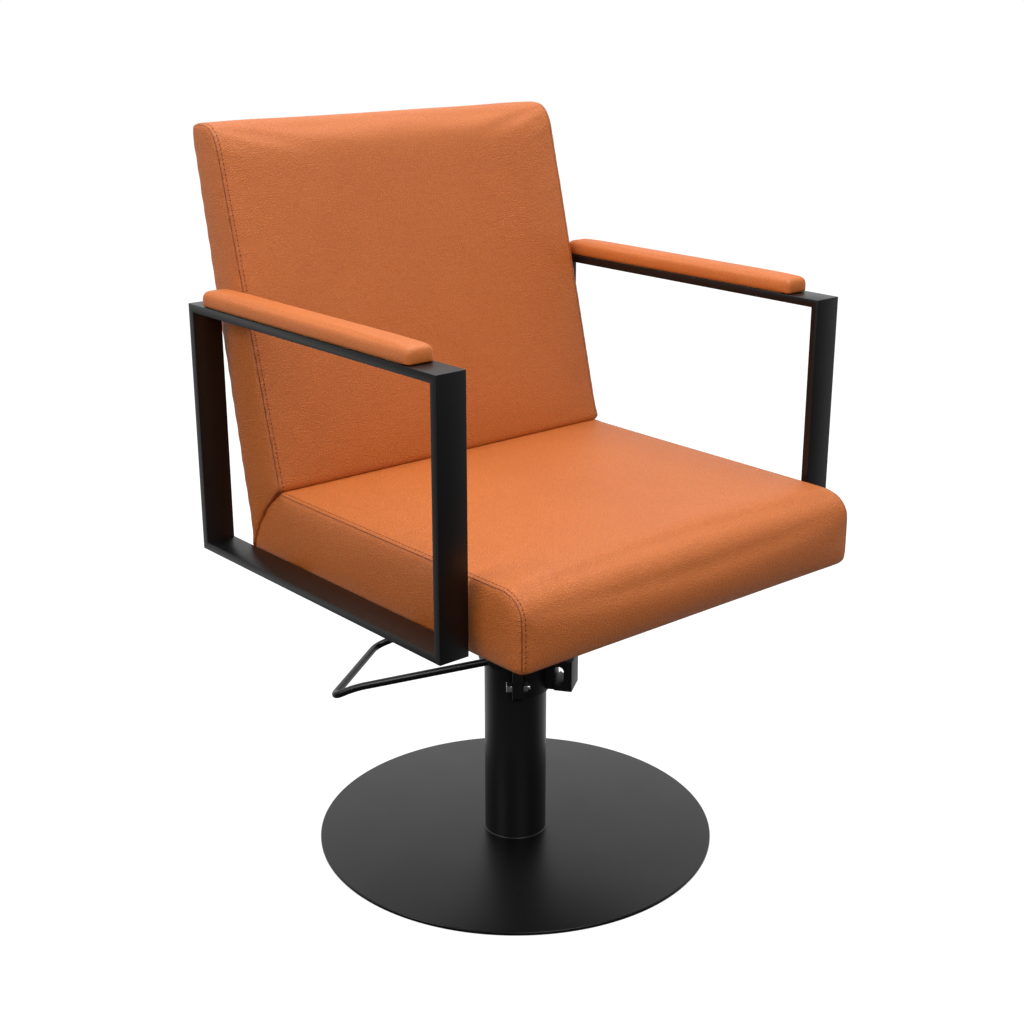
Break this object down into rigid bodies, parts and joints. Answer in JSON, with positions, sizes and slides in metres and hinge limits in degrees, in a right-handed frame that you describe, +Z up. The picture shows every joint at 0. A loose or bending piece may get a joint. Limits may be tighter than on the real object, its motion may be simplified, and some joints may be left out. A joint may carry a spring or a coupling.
{
  "type": "styling chair",
  "caption": "Hydraulic salon styling chair with a disc base, foot pedal, swivelling upholstered seat, reclined back and closed flat-bar armrests.",
  "frame": {"origin": "centre of the base's underside, on the floor, on the column's axis", "axes": "+Z up along the column; the sitter faces -Y; +X is the sitter's left"},
  "size_m": [0.645, 0.6327, 0.955],
  "materials": {
    "upholstery": "fine pebble grain, satin",
    "black_powder_coat": "matte",
    "black_casting": "matte painted",
    "bright_steel": "polished",
    "zinc": "zinc plated",
    "rubber": "matte",
    "plywood": "raw plywood",
    "bronze": "satin",
    "dust_cover": "woven"
  },
  "bodies": {
    "base": {"floor_pad": "rubber", "base_plate": "black_powder_coat", "base_bolt_1": "zinc", "base_bolt_2": "zinc", "base_bolt_3": "zinc", "base_bolt_4": "zinc", "column_foot": "zinc", "column_tube": "black_powder_coat", "pump_cylinder": "zinc", "guide_bush": "bronze", "wiper_seal": "rubber", "column_cap": "black_casting", "pump_head": "black_casting", "clamp_bolt": "bright_steel", "clamp_nut": "zinc", "pivot_bolt_left": "bright_steel", "pivot_bolt_right": "bright_steel", "plunger_spring": "zinc"},
    "plunger": {"plunger": "zinc"},
    "pedal": {"pedal_rod": "black_powder_coat", "pedal_hub_left": "black_casting", "pedal_hub_right": "black_casting"},
    "piston": {"piston_rod": "bright_steel", "piston_seal": "rubber", "thrust_washer": "bronze"},
    "seat": {"arm_bolt_1": "zinc", "arm_bolt_2": "zinc", "arm_bolt_3": "zinc", "arm_bolt_4": "zinc", "arm_bolt_5": "zinc", "arm_bolt_6": "zinc", "arm_bolt_7": "zinc", "arm_bolt_8": "zinc", "arm_frame_left": "black_powder_coat", "arm_frame_right": "black_powder_coat", "arm_pad_board_left": "plywood", "arm_pad_board_right": "plywood", "arm_pad_left": "upholstery", "arm_pad_right": "upholstery", "arm_pad_screw_left_1": "zinc", "arm_pad_screw_left_2": "zinc", "arm_pad_screw_right_1": "zinc", "arm_pad_screw_right_2": "zinc", "back_board": "plywood", "back_bracket_left": "black_powder_coat", "back_bracket_right": "black_powder_coat", "back_cushion": "upholstery", "bracket_bolt_left": "zinc", "bracket_bolt_right": "zinc", "dust_cover": "dust_cover", "seat_board": "plywood", "seat_cushion": "upholstery", "seat_plate": "black_powder_coat", "seat_plate_bolt_1": "zinc", "seat_plate_bolt_2": "zinc", "seat_plate_bolt_3": "zinc", "seat_plate_bolt_4": "zinc", "swivel_hub": "black_casting", "swivel_screw": "zinc"}
  },
  "joints": [
    {"name": "lift", "type": "slide", "parent": "base", "child": "piston", "axis": [0, 0, 1], "range_m": [0, 0.14]},
    {"name": "swivel", "type": "hinge", "parent": "piston", "child": "seat", "pos_m": [0, 0, 0.4], "axis": [0, 0, 1], "continuous": true},
    {"name": "pedal", "type": "hinge", "parent": "base", "child": "pedal", "pos_m": [0, 0, 0.2941], "axis": [-0.8192, -0.5736, 0], "range_deg": [-8, 22], "stiffness_Nm_per_rad": 20, "springref_deg": -1.72},
    {"name": "plunger_slide", "type": "slide", "parent": "base", "child": "plunger", "axis": [0, 0, -1], "range_m": [-0.004, 0.0095], "deforming": ["plunger_spring"]}
  ],
  "couplings": [
    {"joint": "plunger_slide", "follows": "pedal", "m_per_rad": 0.0235}
  ]
}
